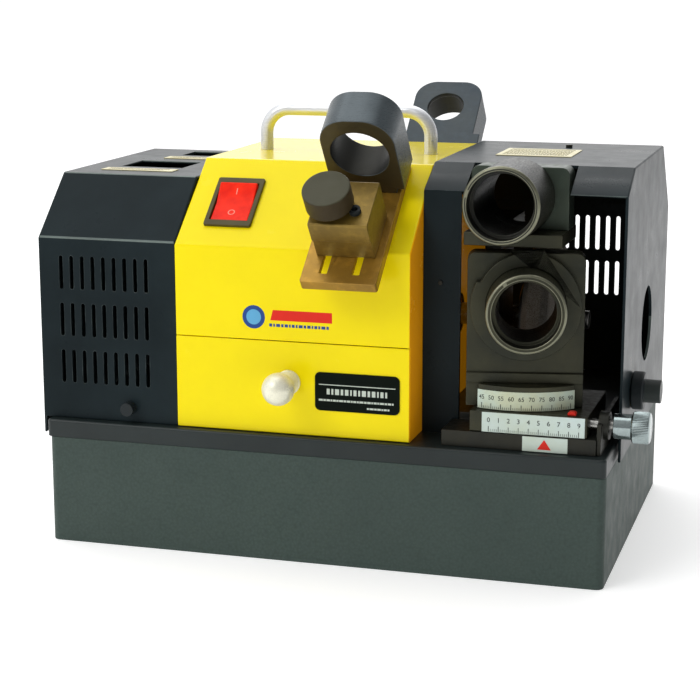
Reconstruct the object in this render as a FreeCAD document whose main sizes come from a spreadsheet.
"""Bench drill bit sharpener with a motor housing, a wheel cover at each end and four chuck seats.

Lengths are in millimetres. Every driving dimension sits in the "Sizes" sheet. Pieces are drawn
from the corner of the base (x from its left end, y from its front, z from the bench) and then
moved so that the origin is the middle of the base's underside. +X is to the operator's right,
+Y points away from the operator and +Z is up.
"""

import FreeCAD, Part
import math
import os
import re

import Sketcher

SIZES = {
    # base and deck
    "base_length": 420, "base_depth": 283, "base_height": 81, "base_wall": 3, "base_corner": 6,
    "deck_thick": 13.3, "deck_overhang": 1.5, "deck_edge": 2, "floor_thick": 2,
    "gusset": 22, "deck_bolt_inset": 30, "deck_bolt_r": 4, "gland_x": 70, "gland_z": 38,
    "gland_r": 8, "wire_x": 165, "wire_r": 14,
    # hoods: sheet thickness, fronts, creases, tops and backs
    "sheet": 2, "hood_back": 282.8, "hood_back_flat": 236, "hood_back_angle": 48,
    "left_start": -7.3, "left_end": 101.2, "left_front": 8.4, "left_crease": 231,
    "left_angle": 42, "left_top": 274,
    "main_start": 101.5, "main_end": 278, "main_front": 6.8, "main_crease": 230.7,
    "main_angle": 39.5, "main_top": 286.2,
    "right_start": 278.3, "right_end": 424, "right_front": 42.4, "right_crease": 271.9,
    "right_angle": 27.3, "right_top": 288.6,
    "skirt_low": 82,
    # vents: rows of nine upright slots, three rows on the left cover and two on the right
    "vent_pitch": 8.45, "vent_count": 9, "left_vent_rows": 3, "right_vent_rows": 2,
    "left_vent_x": 10.4, "left_vent_w": 3.2, "left_vent_tall": 25.5, "left_vent_low": 134.2,
    "left_vent_rise": 35.5,
    "right_vent_x": 316.2, "right_vent_w": 3.5, "right_vent_tall": 28.6, "right_vent_low": 173.3,
    "right_vent_rise": 37.5,
    # openings of the left cover's top
    "thumb_x": 63.5, "thumb_z": 105.5, "thumb_r": 5, "card_gap": 14, "card_d": 14,
    "window_front_x": 20, "window_front_y": 104, "window_front_w": 50, "window_front_d": 43,
    "window_rear_x": 36, "window_rear_y": 192, "window_rear_w": 40, "window_rear_d": 30,
    # right cover's working opening and nut access hole
    "strip_end": 306, "notch_start": 308, "notch_end": 383.5, "notch_back": 76,
    "access_y": 165, "access_z": 160, "access_r": 28.8, "lock_y": 92, "lock_z": 124,
    "lock_r": 14, "lock_thick": 9.1, "lock_hub_r": 8.6, "lock_hub": 12,
    "note_x": 312, "note_y": 128, "note_w": 57, "note_d": 51, "cover_screw_r": 1.6,
    # drawer
    "drawer_top": 163.4, "drawer_gap": 0.5, "tray_depth": 92, "tray_width": 150,
    "tray_height": 48, "tray_bottom": 99, "tray_wall": 1.5, "pull_x": 188, "pull_z": 133.5, "pull_reach": 24,
    "pull_r": 11.8,
    "plate_x": 208, "plate_z": 114.3, "plate_w": 63, "plate_h": 28.2,
    # switch on the sloping face, measured along the slope from the crease
    "switch_x": 119, "switch_a": 18, "switch_w": 36, "switch_h": 47.5, "bezel_thick": 2.4,
    "rocker_w": 28.6, "rocker_h": 35.6, "rocker_tilt": 7,
    # carry handle
    "handle_left": 126, "handle_right": 258, "handle_y": 145, "handle_r": 5,
    "handle_rise": 32, "handle_bend": 19,
    # setting fixture on the sloping face
    "fix_left": 206.9, "fix_width": 55.2, "fix_low": -36.5, "fix_high": 84, "fix_thick": 8,
    "fix_slot_left": 222.3, "fix_slot_right": 245.6, "fix_slot_w": 5.4, "fix_slot_low": -28,
    "fix_slot_high": 42, "recess_w": 10, "recess_h": 4,
    "stop_left": 214.3, "stop_size": 42.6, "stop_low": -14, "stop_rise": 34, "stop_lift": 0.2,
    "stop_step": 1.6, "stop_step_h": 17, "key_length": 12,
    "clamp_x": 228, "clamp_a": 2, "clamp_r": 17, "clamp_thick": 16, "clamp_stud_r": 2.4,
    "clamp_gap": 4, "cap_x": 246, "cap_a": -1, "cap_r": 4.2, "cap_rise": 3.4, "cap_stem_r": 2.5,
    "seat_low": 50, "seat_depth": 30, "seat_left": 211.5, "seat_width": 54,
    "seat_height": 70.4, "seat_axis_x": 238.5, "seat_axis_h": 46,
    # chuck seats: every seat takes the same chuck
    "chuck_bore": 21, "sleeve_r": 28, "mouth_r": 23.8, "mouth_depth": 10,
    # cross slide
    "bed_start": 301, "bed_end": 411.2, "bed_front": 8.5, "bed_depth": 90, "bed_height": 11.7,
    "end_plate_thick": 3, "end_plate_top": 117, "end_boss": 4.2, "knob_gap": 7.1, "slide_start": 321, "slide_end": 404.5,
    "slide_front": 10.2, "slide_back": 96, "slide_bottom": 106.2, "slide_top": 121,
    "rail_y": 56, "rail_w": 26, "rail_h": 5, "rail_fit": 0.15, "screw_y": 24,
    "screw_z": 113.4, "screw_r": 4, "screw_fit": 0.4,
    "scale_x": 330, "scale_w": 73, "scale_h": 14.2, "card": 0.6,
    # angle turret
    "pivot_x": 347, "pivot_y": 75, "pivot_r": 8, "turret_yaw": 11.3, "turret_r": 60.4,
    "turret_half": 34, "turret_turn": 1.5, "turret_bottom": 121.3, "turret_top": 138.5, "dial_low": 121.6,
    "dial_high": 135, "dial_card": 0.7, "hub_r": 22,
    "block_front": 45, "block_thick": 18, "block_half": 41.3, "block_top": 231.5,
    "foot_thick": 7.5, "cam_r": 38.8, "cam_thick": 8, "cam_step": 3.2, "cam_start": 17, "axis_z": 194.7,
    "sleeve_tip": 83,
    # upper chuck seat
    "upper_x": 344, "upper_z": 268.5, "upper_tip": -6, "upper_front": 52, "upper_sleeve_r": 27.2,
    "upper_thick": 22, "upper_w": 70.5, "upper_bottom": 245.1, "upper_top": 289.4,
    "shelf_left": 311, "shelf_w": 70, "shelf_front": 28, "shelf_depth": 58,
    "shelf_thick": 9.4, "post_thick": 12, "post_y": 100, "post_d": 50,
    # rear chuck seat
    "rear_x": 210.5, "rear_w": 56.5, "rear_start": 6, "rear_thick": 30, "rear_rise": 74,
    "rear_axis_x": 238.5, "rear_axis_h": 45.5, "rear_lip": 4, "rear_eye": 15, "rear_corner": 17, "rear_foot_w": 5.5,
    "rear_foot_low": 2.4, "rear_foot_high": 16,
    # motor and spindle
    "spin_y": 165, "spin_z": 160, "motor_start": 122, "motor_length": 136, "motor_r": 52,
    "motor_wall": 6, "bell_thick": 14, "stator_length": 66, "stator_bore": 27,
    "rotor_r": 26.5, "shaft_r": 8.5, "shaft_start": 22, "shaft_end": 380, "bearing_r": 20,
    "bearing_w": 12, "capacitor_x": 236, "capacitor_y": 200, "capacitor_r": 19,
    "capacitor_length": 74, "capacitor_lift": 24, "wheel_r": 62, "wheel_w": 20, "wheel_x": 337, "left_wheel_r": 62,
    "left_wheel_w": 20, "left_wheel_x": 44, "flange_r": 27, "flange_w": 8, "nut_w": 10,
}

doc = FreeCAD.newDocument("DrillBitSharpener")
sheet = doc.addObject("Spreadsheet::Sheet", "Sizes")
for row, (alias, value) in enumerate(SIZES.items(), start=1):
    sheet.set(f"A{row}", alias)
    sheet.set(f"B{row}", str(value))
    sheet.setAlias(f"B{row}", alias)
doc.recompute()

pieces = []


# ---------------------------------------------------------------- helpers

def link(expression):
    """The expression with each name of the sheet written as Sizes.name."""
    def full(match):
        word = match.group(0)
        return f"Sizes.{word}" if word in SIZES else word
    return re.sub(r"[a-z_]+", full, str(expression))


def val(expression):
    """The number that an expression of sheet names stands for now."""
    return float(sheet.evalExpression(link(expression)))


def bind(item, **sizes):
    """Tie properties of an object to expressions of the sheet's names."""
    for name, expression in sizes.items():
        item.setExpression(name, link(expression))
    return item


def at(item, x, y, z):
    """Tie an object's position to expressions."""
    for axis, expression in zip("xyz", (x, y, z)):
        item.setExpression(f".Placement.Base.{axis}", link(expression))
    return item


def box(x, y, z, length, width, height):
    item = doc.addObject("Part::Box", "Block")
    bind(item, Length=length, Width=width, Height=height)
    return at(item, x, y, z)


AXES = {
    "x": FreeCAD.Rotation(FreeCAD.Vector(0, 1, 0), 90),
    "y": FreeCAD.Rotation(FreeCAD.Vector(1, 0, 0), -90),
    "z": FreeCAD.Rotation(),
}


def rod(radius, height, x, y, z, axis="z"):
    """A cylinder that starts at x, y, z and runs along +axis."""
    item = doc.addObject("Part::Cylinder", "Rod")
    item.Placement.Rotation = AXES[axis]
    bind(item, Radius=radius, Height=height)
    return at(item, x, y, z)


def cone(radius_start, radius_end, height, x, y, z, axis="z"):
    item = doc.addObject("Part::Cone", "Taper")
    item.Placement.Rotation = AXES[axis]
    bind(item, Radius1=radius_start, Radius2=radius_end, Height=height)
    return at(item, x, y, z)


def prism(sides, radius, height, x, y, z, axis="z"):
    item = doc.addObject("Part::Prism", "Prism")
    item.Polygon = sides
    item.Placement.Rotation = AXES[axis]
    bind(item, Circumradius=radius, Height=height)
    return at(item, x, y, z)


def fuse(*items):
    whole = doc.addObject("Part::MultiFuse", "Joined")
    whole.Shapes = list(items)
    whole.Refine = True
    return whole


def group(*items):
    """Identical loose pieces that share one node."""
    whole = doc.addObject("Part::Compound", "Set")
    whole.Links = list(items)
    return whole


def cut(base, *tools):
    whole = doc.addObject("Part::Cut", "Cut")
    whole.Base = base
    whole.Tool = tools[0] if len(tools) == 1 else group(*tools)
    whole.Refine = True
    return whole


def rounded(item, radius, chosen):
    """Fillet the edges for which chosen(edge) is true."""
    doc.recompute()
    size = val(radius)
    edges = [(i, size, size) for i, edge in enumerate(item.Shape.Edges, 1) if chosen(edge)]
    whole = doc.addObject("Part::Fillet", "Rounded")
    whole.Base = item
    whole.Edges = edges
    return whole


def chamfered(item, size, chosen):
    doc.recompute()
    width = val(size)
    edges = [(i, width, width) for i, edge in enumerate(item.Shape.Edges, 1) if chosen(edge)]
    whole = doc.addObject("Part::Chamfer", "Chamfered")
    whole.Base = item
    whole.Edges = edges
    return whole


def along(axis, where=lambda middle: True):
    """Picks straight edges that run along an axis and whose middle satisfies where."""
    def chosen(edge):
        if edge.Curve.TypeId != "Part::GeomLine":
            return False
        run = edge.Curve.Direction
        if abs(getattr(run, axis)) < 0.999:
            return False
        return where(edge.CenterOfMass)
    return chosen


def rim(radius, where=lambda middle: True):
    """Picks circular edges of one radius whose centre satisfies where."""
    def chosen(edge):
        if edge.Curve.TypeId != "Part::GeomCircle":
            return False
        return abs(edge.Curve.Radius - radius) < 1e-3 and where(edge.Curve.Center)
    return chosen


def placed(item, frame):
    """Move a tool that is drawn in another frame; the frame is set, not tied."""
    whole = group(item)
    whole.Placement = frame
    return whole


CORNER = FreeCAD.Placement(FreeCAD.Vector(-val("base_length/2"), -val("base_depth/2"), 0),
                           FreeCAD.Rotation())
FACE = FreeCAD.Placement(FreeCAD.Vector(0, val("main_front"), val("main_crease")),
                         FreeCAD.Rotation(FreeCAD.Vector(1, 0, 0), val("main_angle")))
SLOPE = CORNER * FACE
REAR = CORNER * FreeCAD.Placement(
    FreeCAD.Vector(0, val("hood_back_flat"), val("main_top")),
    FreeCAD.Rotation(FreeCAD.Vector(1, 0, 0), -val("hood_back_angle")))
TURRET = CORNER * FreeCAD.Placement(
    FreeCAD.Vector(val("pivot_x"), val("pivot_y"), 0),
    FreeCAD.Rotation(FreeCAD.Vector(0, 0, 1), val("turret_yaw")))


def piece(label, item, frame=CORNER):
    """Finish a sub-part: name it and move it from its drawing frame to the machine's frame."""
    whole = item if item.TypeId == "PartDesign::Body" else group(item)
    whole.Label = label
    whole.Placement = frame
    pieces.append(whole)
    return whole


def solid_piece(label, shape, frame=CORNER):
    """A sub-part whose shape is made directly; its sizes come from the sheet through val()."""
    item = doc.addObject("Part::Feature", label)
    item.Shape = shape
    item.Label = label
    item.Placement = frame
    pieces.append(item)
    return item


def new_body(label):
    body = doc.addObject("PartDesign::Body", label)
    return body


def sketch_on(body, plane, offset, points):
    """A closed outline of straight lines, with both coordinates of each corner tied."""
    drawn = body.newObject("Sketcher::SketchObject", "Outline")
    origin = next(f for f in body.Origin.OriginFeatures if f.Role == plane)
    drawn.AttachmentSupport = [(origin, "")]
    drawn.MapMode = "FlatFace"
    drawn.setExpression("AttachmentOffset.Base.z", link(offset))
    spots = [FreeCAD.Vector(val(u), val(v), 0) for u, v in points]
    for start, end in zip(spots, spots[1:] + spots[:1]):
        drawn.addGeometry(Part.LineSegment(start, end), False)
    count = len(spots)
    for i in range(count):
        drawn.addConstraint(Sketcher.Constraint("Coincident", i, 2, (i + 1) % count, 1))
    for i, (u, v) in enumerate(points):
        for kind, expression in (("DistanceX", u), ("DistanceY", v)):
            tie = Sketcher.Constraint(kind, -1, 1, i, 1, val(expression))
            number = drawn.addConstraint(tie)
            drawn.setExpression(f"Constraints[{number}]", link(expression))
    return drawn


def pad(body, outline, length):
    item = body.newObject("PartDesign::Pad", "Pad")
    item.Profile = outline
    item.setExpression("Length", link(length))
    doc.recompute()
    return item


def pocket(body, outline, depth):
    """Cut an outline into the body, towards whichever side holds material."""
    before = body.Shape.Volume
    item = body.newObject("PartDesign::Pocket", "Pocket")
    item.Profile = outline
    item.setExpression("Length", link(depth))
    doc.recompute()
    first = body.Shape.Volume
    item.Reversed = True
    doc.recompute()
    if body.Shape.Volume > first:
        item.Reversed = False
        doc.recompute()
    if body.Shape.Volume > before - 1e-3:
        raise RuntimeError(f"{item.Name} removes nothing")
    return item


# ---------------------------------------------------------------- sheet-metal hoods

def hood_outline(name, inset, foot):
    """The six corners of a hood's side view, moved inwards by inset."""
    half_front = f"(90-{name}_angle)/2"
    half_back = "(90-hood_back_angle)/2"
    top_front = f"{name}_front+({name}_top-{name}_crease)/tan({name}_angle)"
    back_crease = f"{name}_top-(hood_back-hood_back_flat)*tan(hood_back_angle)"
    return [
        (f"{name}_front+{inset}", foot),
        (f"{name}_front+{inset}", f"{name}_crease-{inset}*tan({half_front})"),
        (f"{top_front}+{inset}*tan({name}_angle/2)", f"{name}_top-{inset}"),
        (f"hood_back_flat-{inset}*tan(hood_back_angle/2)", f"{name}_top-{inset}"),
        (f"hood_back-{inset}", f"{back_crease}-{inset}*tan({half_back})"),
        (f"hood_back-{inset}", foot),
    ]


def hood(name, label, left_wall, right_wall):
    """A folded hood, open below, with the end walls that it really has."""
    deck = "base_height+deck_thick"
    body = new_body(label)
    outer = sketch_on(body, "YZ_Plane", f"{name}_start", hood_outline(name, "0", deck))
    pad(body, outer, f"{name}_end-{name}_start")
    first = f"{name}_start+sheet" if left_wall else f"{name}_start"
    last = f"{name}_end-sheet" if right_wall else f"{name}_end"
    inner = sketch_on(body, "YZ_Plane", first, hood_outline(name, "sheet", f"{deck}-5"))
    pocket(body, inner, f"({last})-({first})")
    return body


def slot_outline(x, middle, width, tall):
    """An upright slot with rounded ends, each end drawn with four straight sides."""
    straight = f"{tall}/2-{width}/2"
    low = f"{middle}-({straight})"
    high = f"{middle}+{straight}"
    lean = f"{width}*0.3536"
    return [(f"{x}-{width}/2", low), (f"{x}-{lean}", f"{low}-{lean}"),
            (x, f"{middle}-{tall}/2"), (f"{x}+{lean}", f"{low}-{lean}"), (f"{x}+{width}/2", low),
            (f"{x}+{width}/2", high), (f"{x}+{lean}", f"{high}+{lean}"),
            (x, f"{middle}+{tall}/2"), (f"{x}-{lean}", f"{high}+{lean}"),
            (f"{x}-{width}/2", high)]


def vents(body, name, front):
    """Rows of upright slots through the front or back sheet of a cover."""
    column = []
    for level in range(int(val(f"{name}_vent_rows"))):
        middle = f"{name}_vent_low+{level}*{name}_vent_rise"
        slot = sketch_on(body, "XZ_Plane", f"-({front}-2*sheet)-4*sheet", slot_outline(
            f"{name}_vent_x", middle, f"{name}_vent_w", f"{name}_vent_tall"))
        column.append(pocket(body, slot, "4*sheet"))
    row = body.newObject("PartDesign::LinearPattern", "Row")
    row.Originals = column
    row.Direction = (column[0].Profile[0], ["H_Axis"])
    row.setExpression("Length", link("vent_pitch*(vent_count-1)"))
    row.Occurrences = int(val("vent_count"))
    body.Tip = row
    doc.recompute()
    return row


def skirt(name, x):
    """The lower edge of a cover's end wall, which laps over the side of the deck."""
    return box(x, f"{name}_front", "skirt_low", "sheet", f"hood_back-{name}_front",
               "base_height+deck_thick-skirt_low+1")


# ---------------------------------------------------------------- base

def corners(inset):
    """The four corner positions of the base, this far in from its sides."""
    return [(x, y) for x in (inset, f"base_length-{inset}") for y in (inset, f"base_depth-{inset}")]


def make_base():
    shell = rounded(box("0", "0", "0", "base_length", "base_depth", "base_height"),
                    "base_corner", along("z"))
    hollow = box("base_wall", "base_wall", "-5", "base_length-2*base_wall",
                 "base_depth-2*base_wall", "base_height-base_wall+5")
    lugs = [box(x, y, "floor_thick", "gusset", "gusset", "gusset/2")
            for x in ("base_wall-1", "base_length-base_wall-gusset+1")
            for y in ("base_wall-1", "base_depth-base_wall-gusset+1")]
    folded = fuse(cut(shell, hollow), *lugs)
    holes = [rod("2.5", "gusset", x, y, "0") for x, y in corners("gusset/2+3")]
    holes += [rod("deck_bolt_r+0.2", "20", x, y, "base_height-10")
              for x, y in corners("deck_bolt_inset")]
    holes.append(rod("gland_r+0.1", "20", "gland_x", "base_depth-10", "gland_z", "y"))
    holes.append(rod("wire_r", "20", "wire_x", "base_depth/2", "base_height-10"))
    piece("base_box", cut(folded, *holes))

    gap = "base_wall+0.3"
    plate = box(gap, gap, "0", f"base_length-2*({gap})", f"base_depth-2*({gap})", "floor_thick")
    ways = [cone("4.6", "2.6", "floor_thick", x, y, "0") for x, y in corners("gusset/2+3")]
    piece("floor_plate", cut(rounded(plate, "base_corner-base_wall", along("z")), *ways))
    piece("floor_screws", group(*[
        fuse(cone("4.5", "2.5", "floor_thick", x, y, "0"),
             rod("2.4", "10", x, y, "floor_thick-0.5"))
        for x, y in corners("gusset/2+3")]))


def make_deck():
    top = "base_height+deck_thick"
    slab = box("-deck_overhang", "0", "base_height", "base_length+deck_overhang", "base_depth",
               "deck_thick")
    slab = rounded(slab, "2*deck_edge", along("z"))
    height = val(top)
    slab = rounded(slab, "deck_edge", lambda edge: abs(edge.CenterOfMass.z - height) < 1e-3)
    ways = [rod("deck_bolt_r+0.1", "10", x, y, "base_height-1")
            for x, y in corners("deck_bolt_inset")]
    ways.append(rod("wire_r", "30", "wire_x", "base_depth/2", "base_height-5"))
    piece("deck_plate", cut(slab, *ways))
    piece("deck_bolts", group(*[
        fuse(prism(6, "7.5", "5.3", x, y, "base_height-base_wall-5.3"),
             rod("deck_bolt_r", "11", x, y, "base_height-base_wall-1"))
        for x, y in corners("deck_bolt_inset")]))


def make_wiring():
    back = "base_depth"
    neck = rod("gland_r", "base_wall+8", "gland_x", f"{back}-base_wall-8", "gland_z", "y")
    nut = prism(6, "12", "5", "gland_x", back, "gland_z", "y")
    dome = cone("10", "7", "8", "gland_x", f"{back}+5", "gland_z", "y")
    bore = rod("4", "60", "gland_x", f"{back}-30", "gland_z", "y")
    piece("cable_gland", cut(fuse(neck, nut, dome), bore))

    can = rod("capacitor_r", "capacitor_length", "capacitor_x", "capacitor_y",
              "floor_thick+capacitor_lift", "x")
    foot = box("capacitor_x+14", "capacitor_y-12", "floor_thick", "capacitor_length-28", "24",
               "capacitor_lift-10")
    piece("motor_capacitor", fuse(can, foot))


# ---------------------------------------------------------------- covers and housing

def make_left_cover():
    body = hood("left", "left_sheet", True, False)
    vents(body, "left", "left_front")
    windows = [box(f"window_{spot}_x", f"window_{spot}_y", "left_top-5", f"window_{spot}_w",
                   f"window_{spot}_d", "10") for spot in ("front", "rear")]
    screw_way = rod("2.4", "10", "thumb_x", "left_front-5", "thumb_z", "y")
    piece("left_cover", fuse(cut(body, *windows, screw_way), skirt("left", "left_start")))
    cards = [box(f"window_{spot}_x-5", f"window_{spot}_y-card_gap-card_d", "left_top", "58",
                 "card_d", "card") for spot in ("front", "rear")]
    piece("left_cover_labels", group(*cards))
    head = rod("thumb_r", "8", "thumb_x", "left_front-8.3", "thumb_z", "y")
    stem = rod("2.1", "14", "thumb_x", "left_front-2", "thumb_z", "y")
    piece("left_cover_thumbscrew", fuse(head, stem))


def make_housing():
    body = hood("main", "main_sheet", True, True)
    front = box("main_start-1", "main_front-1", "base_height", "main_end-main_start+2",
                "sheet+1.3", "drawer_top-base_height")
    shaft_way = rod("16", "400", "0", "spin_y", "spin_z", "x")
    seat = [rod("2.7", "20", f"handle_{side}", "handle_y", "main_top-10")
            for side in ("left", "right")]
    case_hole = placed(box("switch_x+2", "switch_a+2", "-10", "switch_w-4", "switch_h-4", "20"),
                       FACE)
    piece("main_housing", cut(body, front, shaft_way, case_hole, *seat))


def make_right_cover():
    body = hood("right", "right_sheet", False, True)
    vents(body, "right", "hood_back")
    mouth = box("strip_end", "right_front-1", "base_height", "right_end-sheet-strip_end",
                "sheet+1.2", "right_crease-base_height-0.5")
    notch = box("notch_start", "right_front-1", "right_crease-20", "notch_end-notch_start",
                "notch_back-right_front+1", "60")
    access = rod("access_r", "20", "right_end-10", "access_y", "access_z", "x")
    lock_way = rod("4.3", "20", "right_end-10", "lock_y", "lock_z", "x")
    piece("right_cover", fuse(cut(body, mouth, notch, access, lock_way),
                              skirt("right", "right_end-sheet")))
    piece("right_cover_label", box("note_x", "note_y", "right_top", "note_w", "note_d", "card"))
    stud = rod("cover_screw_r+1", "2.2", "355", "201", "right_top")
    dot = rod("cover_screw_r", "1.4", "291.5", "right_front-1.4", "205.4", "y")
    piece("right_cover_screws", group(stud, dot))
    grip = chamfered(rod("lock_r", "lock_thick", "right_end+0.4", "lock_y", "lock_z", "x"), "1",
                     rim(val("lock_r")))
    hub = rod("lock_hub_r", "lock_hub", "right_end+lock_thick+0.3", "lock_y", "lock_z", "x")
    stem = rod("3.9", "9", "right_end-7.5", "lock_y", "lock_z", "x")
    piece("slide_lock_knob", fuse(grip, hub, stem))


# ---------------------------------------------------------------- drawer, switch and handle

def make_drawer():
    middle = "(main_start+main_end)/2"
    back_of_front = "main_front+sheet"
    outer = box(f"{middle}-tray_width/2", back_of_front, "tray_bottom", "tray_width",
                "tray_depth", "tray_height")
    inner = box(f"{middle}-tray_width/2+tray_wall", f"{back_of_front}+tray_wall",
                "tray_bottom+tray_wall", "tray_width-2*tray_wall", "tray_depth-2*tray_wall",
                "tray_height")
    piece("drawer_tray", cut(outer, inner))
    low = "base_height+deck_thick+drawer_gap"
    piece("drawer_front", box("main_start", "main_front", low, "main_end-main_start", "sheet",
                              f"drawer_top-drawer_gap-({low})"))
    root = rod("9", "2.5", "pull_x", "main_front-2.5", "pull_z", "y")
    flare = cone("4.5", "8.5", "10", "pull_x", "main_front-12.5", "pull_z", "y")
    neck = rod("4.5", "pull_reach-10", "pull_x", "main_front-pull_reach", "pull_z", "y")
    ball = doc.addObject("Part::Sphere", "Ball")
    bind(ball, Radius="pull_r")
    at(ball, "pull_x", "main_front-pull_reach", "pull_z")
    piece("drawer_knob", fuse(root, flare, neck, ball))
    plate = box("plate_x", "main_front-0.8", "plate_z", "plate_w", "0.8", "plate_h")
    piece("drawer_nameplate", rounded(plate, "4", along("y")))
    deck = "base_height+deck_thick"
    rails = []
    for inner_x, lip_x in ((f"{middle}-tray_width/2", f"{middle}-tray_width/2-3.4"),
                           (f"{middle}+tray_width/2-12", f"{middle}+tray_width/2+0.4")):
        shelf = box(f"{inner_x}-1", "main_front+6", deck, "14", "tray_depth",
                    f"tray_bottom-0.3-({deck})")
        lip = box(lip_x, "main_front+6", deck, "3", "tray_depth", "18")
        rails.append(fuse(shelf, lip))
    piece("drawer_runners", group(*rails))


def make_switch():
    mid_x = "switch_x+switch_w/2"
    mid_a = "switch_a+switch_h/2"
    rim_plate = rounded(box("switch_x", "switch_a", "0", "switch_w", "switch_h", "bezel_thick"),
                        "1.6", along("z"))
    case = box("switch_x+2.3", "switch_a+2.3", "-24", "switch_w-4.6", "switch_h-4.6", "24.5")
    well = box(f"{mid_x}-rocker_w/2-0.5", f"{mid_a}-rocker_h/2-0.6", "-16", "rocker_w+1",
               "rocker_h+1.2", "30")
    pivot_ways = rod("2.06", "switch_w", "switch_x", mid_a, "rocker_h/-9", "x")
    piece("switch_bezel", cut(fuse(rim_plate, case), well, pivot_ways), SLOPE)

    body = new_body("switch_rocker")
    half = "rocker_h/2-0.5"
    outline = sketch_on(body, "YZ_Plane", "0-rocker_w/2", [
        (f"0-({half})", "-1"), ("0-5", "-9"), ("5", "-9"), (half, "-1"),
        (half, "7.2"), ("0", "4.8"), (f"0-({half})", "7.2")])
    pad(body, outline, "rocker_w")
    pivot = FreeCAD.Placement(FreeCAD.Vector(val(mid_x), val(mid_a), val("rocker_h/-9")),
                              FreeCAD.Rotation(FreeCAD.Vector(1, 0, 0), val("rocker_tilt")))
    body.Label = "rocker_key"
    axle = rod("2", "rocker_w+1.8", "0-rocker_w/2-0.9", "0", "0", "x")
    piece("switch_rocker", fuse(body, axle), SLOPE * pivot)


def make_handle():
    left, right, y = val("handle_left"), val("handle_right"), val("handle_y")
    foot, bend = val("main_top"), val("handle_bend")
    top = foot + val("handle_rise")
    corner = bend * (1 - math.sqrt(0.5))
    vector = FreeCAD.Vector
    run = [
        Part.makeLine(vector(left, y, foot), vector(left, y, top - bend)),
        Part.Arc(vector(left, y, top - bend), vector(left + corner, y, top - corner),
                 vector(left + bend, y, top)).toShape(),
        Part.makeLine(vector(left + bend, y, top), vector(right - bend, y, top)),
        Part.Arc(vector(right - bend, y, top), vector(right - corner, y, top - corner),
                 vector(right, y, top - bend)).toShape(),
        Part.makeLine(vector(right, y, top - bend), vector(right, y, foot)),
    ]
    section = Part.Wire(Part.makeCircle(val("handle_r"), vector(left, y, foot), vector(0, 0, 1)))
    bar = Part.Wire(run).makePipeShell([section], True, True)
    for x in (left, right):
        bar = bar.cut(Part.makeCylinder(2.6, 14, vector(x, y, foot - 1)))
    solid_piece("carry_handle", bar)
    screws = [fuse(rod("4.5", "4", f"handle_{side}", "handle_y", "main_top-sheet-4"),
                   rod("2.5", "14", f"handle_{side}", "handle_y", "main_top-sheet-1"))
              for side in ("left", "right")]
    piece("handle_screws", group(*screws))


# ---------------------------------------------------------------- setting fixture

def make_setting_fixture():
    slab = rounded(box("fix_left", "fix_low", "0", "fix_width", "fix_high-fix_low", "fix_thick"),
                   "2", along("z"))
    ways = []
    span = "fix_slot_high-fix_slot_low"
    for side in ("left", "right"):
        ways.append(box(f"fix_slot_{side}-fix_slot_w/2", "fix_slot_low", "-1", "fix_slot_w",
                        span, "fix_thick+2"))
        ways.append(box(f"fix_slot_{side}-recess_w/2", "fix_slot_low-4", "-1", "recess_w",
                        f"{span}+8", "recess_h+1"))
    piece("setting_plate", cut(slab, *ways), SLOPE)

    low = "fix_thick+stop_lift"
    top = f"{low}+stop_rise"
    cube = chamfered(box("stop_left", "stop_low", low, "stop_size", "stop_size", "stop_rise"),
                     "1", along("x"))
    step = box("stop_left-1", "stop_low-1", f"{low}-1", "stop_size+2", "stop_step+1",
               "stop_step_h+1")
    stud_way = rod("clamp_stud_r+0.1", "60", "clamp_x", "clamp_a", "0")
    cap_way = rod("cap_stem_r+0.02", "20", "cap_x", "cap_a", f"{top}-14")
    piece("stop_block", cut(cube, step, stud_way, cap_way), SLOPE)
    middle_a = "stop_low+stop_size/2"
    keys = []
    for side in ("left", "right"):
        slot = f"fix_slot_{side}"
        foot = box(f"{slot}-recess_w/2+0.4", f"{middle_a}-key_length/2", "0.4",
                   "recess_w-0.8", "key_length", "recess_h-0.8")
        neck = box(f"{slot}-fix_slot_w/2+0.3", f"{middle_a}-key_length/2", "1", "fix_slot_w-0.6",
                   "key_length", f"{low}-1")
        keys.append(fuse(foot, neck))
    piece("stop_keys", group(*keys), SLOPE)
    head = cut(rod("cap_r", "cap_rise", "cap_x", "cap_a", top),
               prism(6, "2.3", "3", "cap_x", "cap_a", f"{top}+cap_rise-2.4"))
    piece("stop_screw", fuse(head, rod("cap_stem_r", "12", "cap_x", "cap_a", f"{top}-11.8")),
          SLOPE)
    wheel = chamfered(rod("clamp_r", "clamp_thick", "clamp_x", "clamp_a", f"{top}+clamp_gap"),
                      "0.8", rim(val("clamp_r")))
    collar = rod("7", "clamp_gap", "clamp_x", "clamp_a", f"{top}+0.3")
    stud = rod("clamp_stud_r", f"{top}+clamp_gap-({low})", "clamp_x", "clamp_a", f"{low}+0.3")
    piece("clamp_knob", fuse(wheel, collar, stud), SLOPE)

    stand = box("seat_left", "seat_low", "fix_thick", "seat_width", "seat_depth", "seat_height")
    crown = val("fix_thick+seat_height")
    stand = rounded(stand, "22", along("y", lambda middle: middle.z > crown - 1))
    bore = rod("chuck_bore", "seat_depth+10", "seat_axis_x", "seat_low-5", "seat_axis_h", "y")
    undercut = box("seat_left-1", "seat_low-1", "fix_thick-1", "7", "seat_depth+2", "5")
    far_undercut = box("seat_left+seat_width-6", "seat_low-1", "fix_thick-1", "7",
                       "seat_depth+2", "5")
    piece("setting_seat", cut(stand, bore, undercut, far_undercut), SLOPE)


# ---------------------------------------------------------------- cross slide

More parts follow.
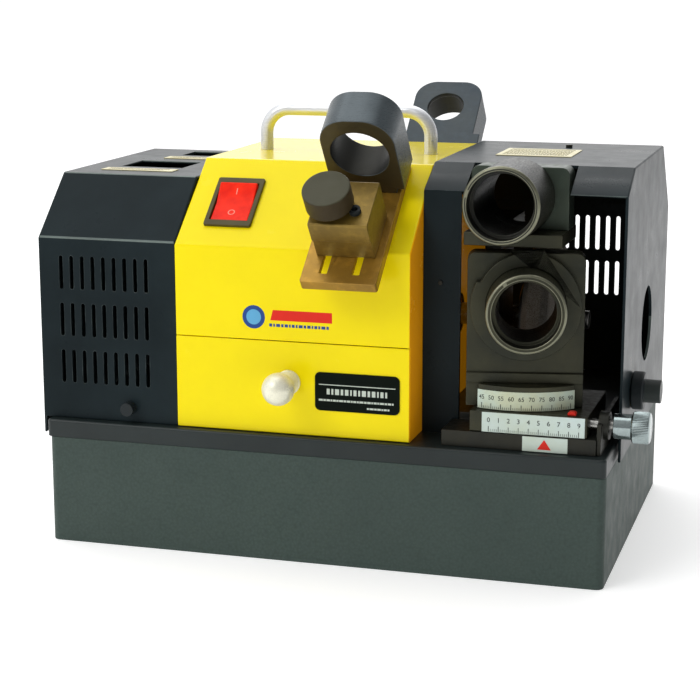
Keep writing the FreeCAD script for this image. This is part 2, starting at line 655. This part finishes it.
def make_cross_slide():
    deck = "base_height+deck_thick"
    bed = box("bed_start", "bed_front", deck, "bed_end-bed_start", "bed_depth", "bed_height")
    rail = box("bed_start+2", "rail_y-rail_w/2", f"{deck}+bed_height-1",
               "bed_end-bed_start-4", "rail_w", "rail_h+1")
    corner = box("bed_start-1", "right_front-0.3", deck, "strip_end-bed_start+1.3", "bed_depth",
                 "bed_height+rail_h+5")
    piece("slide_bed", cut(fuse(bed, rail), corner))
    wall = box("bed_end+0.2", "bed_front+1.5", deck, "end_plate_thick", "bed_depth-3",
               f"end_plate_top-({deck})")
    collar = rod("10", "end_plate_thick+end_boss", "bed_end+0.2", "screw_y", "screw_z", "x")
    way = rod("screw_r+0.05", "30", "bed_end-5", "screw_y", "screw_z", "x")
    piece("slide_end_plate", cut(fuse(wall, collar), way))
    piece("slide_pointer_label", box("scale_x+29.5", "bed_front-card", f"{deck}+0.6", "32",
                                     "card", "10.6"))

    block = box("slide_start", "slide_front", "slide_bottom", "slide_end-slide_start",
                "slide_back-slide_front", "slide_top-slide_bottom")
    rail_top = f"{deck}+bed_height+rail_h"
    groove = box("slide_start-5", "rail_y-rail_w/2-rail_fit", "slide_bottom-1",
                 "slide_end-slide_start+10", "rail_w+2*rail_fit",
                 f"{rail_top}+rail_fit-slide_bottom+1")
    screw_way = rod("screw_r+screw_fit", "200", "slide_start-20", "screw_y", "screw_z", "x")
    pin_way = rod("pivot_r+0.02", "20", "pivot_x", "pivot_y", "slide_top-8")
    piece("cross_slide", cut(block, groove, screw_way, pin_way))
    piece("turret_pin", rod("pivot_r", "turret_top-slide_top+7", "pivot_x", "pivot_y",
                            "slide_top-8"))
    piece("slide_scale", box("scale_x", "slide_front-card", "slide_bottom+0.2", "scale_w",
                             "card", "scale_h"))
    arm = box("389.8", "14.5", "slide_top", "6", "5", "2.6")
    piece("angle_pointer", chamfered(arm, "1.2", along("y", lambda middle: middle.z > 122)))

    face = "bed_end+0.2+end_plate_thick+knob_gap"
    piece("lead_screw", rod("screw_r", f"{face}+0.3-slide_start-4", "slide_start+4", "screw_y",
                            "screw_z", "x"))
    small = rod("9", "12.8", face, "screw_y", "screw_z", "x")
    large = chamfered(rod("11.3", "12.5", f"{face}+12.8", "screw_y", "screw_z", "x"), "0.8",
                      rim(11.3))
    piece("feed_knob", cut(fuse(small, large), rod("screw_r", "0.6", f"{face}-0.3", "screw_y",
                                                   "screw_z", "x")))


# ---------------------------------------------------------------- angle turret, lower seat

def sector(radius, bottom, height):
    """A wedge of a disc under the turret's front."""
    item = rod(radius, height, "0", "0", bottom)
    item.setExpression("Angle", link("2*turret_half"))
    item.Placement.Rotation = FreeCAD.Rotation(FreeCAD.Vector(0, 0, 1),
                                               val("turret_turn-turret_half") - 90)
    return item


def make_turret():
    fan = sector("turret_r", "turret_bottom", "turret_top-turret_bottom")
    hub = rod("hub_r", "turret_top-turret_bottom", "0", "0", "turret_bottom")
    wings = box("0-block_half", "0-block_front", "turret_bottom", "2*block_half",
                "block_thick", "turret_top-turret_bottom")
    way = rod("pivot_r+0.05", "40", "0", "0", "turret_bottom-5")
    piece("angle_turret", cut(fuse(fan, hub, wings), way), TURRET)
    card = cut(sector("turret_r+dial_card", "dial_low", "dial_high-dial_low"),
               rod("turret_r", "40", "0", "0", "turret_bottom-5"))
    piece("angle_scale", card, TURRET)

    foot = box("0-block_half", "0-block_front-2.5", "turret_top", "2*block_half",
               "block_thick+2.5", "foot_thick")
    upright = box("0-block_half", "0-block_front", "turret_top", "2*block_half", "block_thick",
                  "block_top-turret_top")
    upright = rounded(upright, "6", along("y", lambda middle: middle.z > val("block_top-1")))
    bore = rod("chuck_bore", "200", "0", "-100", "axis_z", "y")
    piece("lower_seat_block", cut(fuse(foot, upright), bore), TURRET)

    disc = rod("cam_r", "cam_thick", "0", "0-block_front-cam_thick", "axis_z", "y")
    spiral = rod("cam_r", "cam_thick+4", "cam_step", "0-block_front-cam_thick-2", "axis_z", "y")
    quarter = box("0-cam_r-5", "0-block_front-cam_thick-1", "axis_z+cam_start", "cam_r+5",
                  "cam_thick+2", "cam_r")
    shaped = cut(disc, cut(quarter, spiral))
    centre = rod("sleeve_r+0.02", "40", "0", "0-block_front-20", "axis_z", "y")
    piece("cam_flange", cut(shaped, centre), TURRET)
    piece("lower_sleeve", sleeve("0", "0-sleeve_tip", "axis_z", "sleeve_tip-block_front",
                                 "sleeve_r"), TURRET)


def sleeve(x, tip_y, z, length, radius):
    """A chuck sleeve along Y, bored out wider at its mouth."""
    tube = rod(radius, length, x, tip_y, z, "y")
    tube = chamfered(tube, "1.2", rim(val(radius), lambda c: c.y < val(tip_y) + 1))
    bore = rod("chuck_bore", f"{length}+10", x, f"{tip_y}-5", z, "y")
    mouth = rod("mouth_r", "mouth_depth+1", x, f"{tip_y}-1", z, "y")
    return cut(tube, bore, mouth)


def make_upper_seat():
    block = box("upper_x-upper_w/2+1.95", "upper_front", "upper_bottom", "upper_w",
                "upper_thick", "upper_top-upper_bottom")
    top = val("upper_top")
    block = rounded(block, "6", along("y", lambda middle: middle.z > top - 1))
    bore = rod("chuck_bore", "60", "upper_x", "upper_front-10", "upper_z", "y")
    piece("upper_seat_block", cut(block, bore))
    piece("upper_sleeve", sleeve("upper_x", "upper_tip", "upper_z", "upper_front-upper_tip",
                                 "upper_sleeve_r"))
    low = "upper_bottom-shelf_thick"
    table = box("shelf_left", "shelf_front", low, "shelf_w", "shelf_depth", "shelf_thick")
    arm = box("shelf_left", "shelf_front+shelf_depth-1", low, "post_thick+8", "65",
              "shelf_thick")
    saddle = rod("upper_sleeve_r+0.3", "upper_front-shelf_front+5.2", "upper_x", "shelf_front-5",
                 "upper_z", "y")
    piece("seat_shelf", cut(fuse(table, arm), saddle))
    deck = "base_height+deck_thick"
    post = box("shelf_left", "post_y", deck, "post_thick", "post_d", f"{low}-({deck})")
    foot = box("shelf_left", "post_y", deck, "post_thick+10", "post_d", "8")
    piece("shelf_post", fuse(post, foot))


def make_rear_seat():
    stand = box("rear_x", "rear_start", "0.15", "rear_w", "rear_thick", "rear_rise-0.15")
    crown = val("rear_rise")
    stand = rounded(stand, "rear_corner", along("y", lambda middle: middle.z > crown - 1))
    foot = box("rear_x+rear_w-1", "rear_start", "rear_foot_low", "rear_foot_w+1", "rear_thick",
               "rear_foot_high-rear_foot_low")
    bore = rod("chuck_bore", "rear_thick", "rear_axis_x", "rear_start+rear_lip", "rear_axis_h", "y")
    eye = rod("rear_eye", "rear_thick+10", "rear_axis_x", "rear_start-5", "rear_axis_h", "y")
    piece("rear_seat", cut(fuse(stand, foot), bore, eye), REAR)


# ---------------------------------------------------------------- motor and spindle

def ring(outer, inner, width, x):
    """A ring round the spindle that starts at x."""
    return cut(rod(outer, width, x, "spin_y", "spin_z", "x"),
               rod(inner, f"{width}+10", f"({x})-5", "spin_y", "spin_z", "x"))


def make_motor():
    last = "motor_start+motor_length"
    barrel_start, barrel_end = "motor_start+bell_thick", "motor_start+motor_length-bell_thick"
    piece("motor_barrel", ring("motor_r", "motor_r-motor_wall", f"{barrel_end}-({barrel_start})",
                               barrel_start))
    pocket_r = "bearing_r+0.02"
    near = cut(ring("motor_r", "shaft_r+1", "bell_thick", "motor_start"),
               rod(pocket_r, "bearing_w+5", f"{barrel_start}-bearing_w", "spin_y", "spin_z", "x"))
    far = cut(ring("motor_r", "shaft_r+1", "bell_thick", barrel_end),
              rod(pocket_r, "bearing_w+5", f"{barrel_end}-5", "spin_y", "spin_z", "x"))
    piece("motor_end_bells", group(near, far))
    piece("spindle_bearings", group(
        ring("bearing_r", "shaft_r+0.02", "bearing_w", f"{barrel_start}-bearing_w"),
        ring("bearing_r", "shaft_r+0.02", "bearing_w", barrel_end)))
    middle = f"(motor_start+{last})/2"
    piece("stator_core", ring("motor_r-motor_wall-0.02", "stator_bore", "stator_length",
                              f"{middle}-stator_length/2"))
    piece("stator_coils", group(
        ring("motor_r-motor_wall-6", "stator_bore+3", "14", f"{middle}-stator_length/2-14.1"),
        ring("motor_r-motor_wall-6", "stator_bore+3", "14", f"{middle}+stator_length/2+0.1")))
    piece("rotor_core", ring("rotor_r", "shaft_r+0.02", "stator_length",
                             f"{middle}-stator_length/2"))

    deck = "base_height+deck_thick"
    plate = box("motor_start+16", "spin_y-48", deck, "motor_length-32", "96", "5")
    saddles = [box(x, "spin_y-34", deck, "18", "68", f"spin_z-motor_r+12-({deck})")
               for x in ("motor_start+20", f"{last}-38")]
    bed = rod("motor_r+0.02", "300", "motor_start-50", "spin_y", "spin_z", "x")
    piece("motor_cradle", cut(fuse(plate, *saddles), bed))


def make_spindle():
    middle = rod("shaft_r", "wheel_x-flange_w-0.1-(left_wheel_x+left_wheel_w+flange_w+0.1)",
                 "left_wheel_x+left_wheel_w+flange_w+0.1", "spin_y", "spin_z", "x")
    ends = rod("shaft_r-1.5", "shaft_end-shaft_start", "shaft_start", "spin_y", "spin_z", "x")
    piece("spindle_shaft", fuse(middle, ends))
    journal = "shaft_r-1.48"

    def wheel(radius, x, width, bevel):
        disc = chamfered(rod(radius, width, x, "spin_y", "spin_z", "x"), bevel,
                         rim(val(radius)))
        return cut(disc, rod(journal, "60", f"{x}-20", "spin_y", "spin_z", "x"))

    piece("drill_wheel", wheel("wheel_r", "wheel_x", "wheel_w", "5"))
    piece("left_wheel", wheel("left_wheel_r", "left_wheel_x", "left_wheel_w", "2"))
    places = ("wheel_x-flange_w-0.05", "wheel_x+wheel_w+0.05",
              "left_wheel_x-flange_w-0.05", "left_wheel_x+left_wheel_w+0.05")
    flanges = [ring("flange_r", journal, "flange_w", x) for x in places]
    nuts = [cut(prism(6, "13", "nut_w", x, "spin_y", "spin_z", "x"),
                rod(journal, "30", f"{x}-10", "spin_y", "spin_z", "x"))
            for x in ("wheel_x+wheel_w+flange_w+0.1", "left_wheel_x-flange_w-0.1-nut_w")]
    piece("wheel_clamps", group(*flanges, *nuts))


for make in (make_base, make_deck, make_wiring, make_left_cover, make_housing, make_right_cover,
             make_drawer, make_switch, make_handle, make_setting_fixture, make_cross_slide,
             make_turret, make_upper_seat, make_rear_seat, make_motor, make_spindle):
    make()
doc.recompute()

for item in doc.Objects:
    if "Invalid" in item.State or "Error" in item.State:
        raise RuntimeError(f"{item.Label} failed: {item.State}")
for item in pieces:
    if item.Shape.isNull() or not item.Shape.isValid() or not item.Shape.Solids:
        raise RuntimeError(f"{item.Label} has no valid solid")

os.makedirs("parts", exist_ok=True)
for item in pieces:
    item.Shape.exportStep(os.path.join("parts", f"{item.Label}.step"))
print(f"{len(pieces)} sub-parts written")
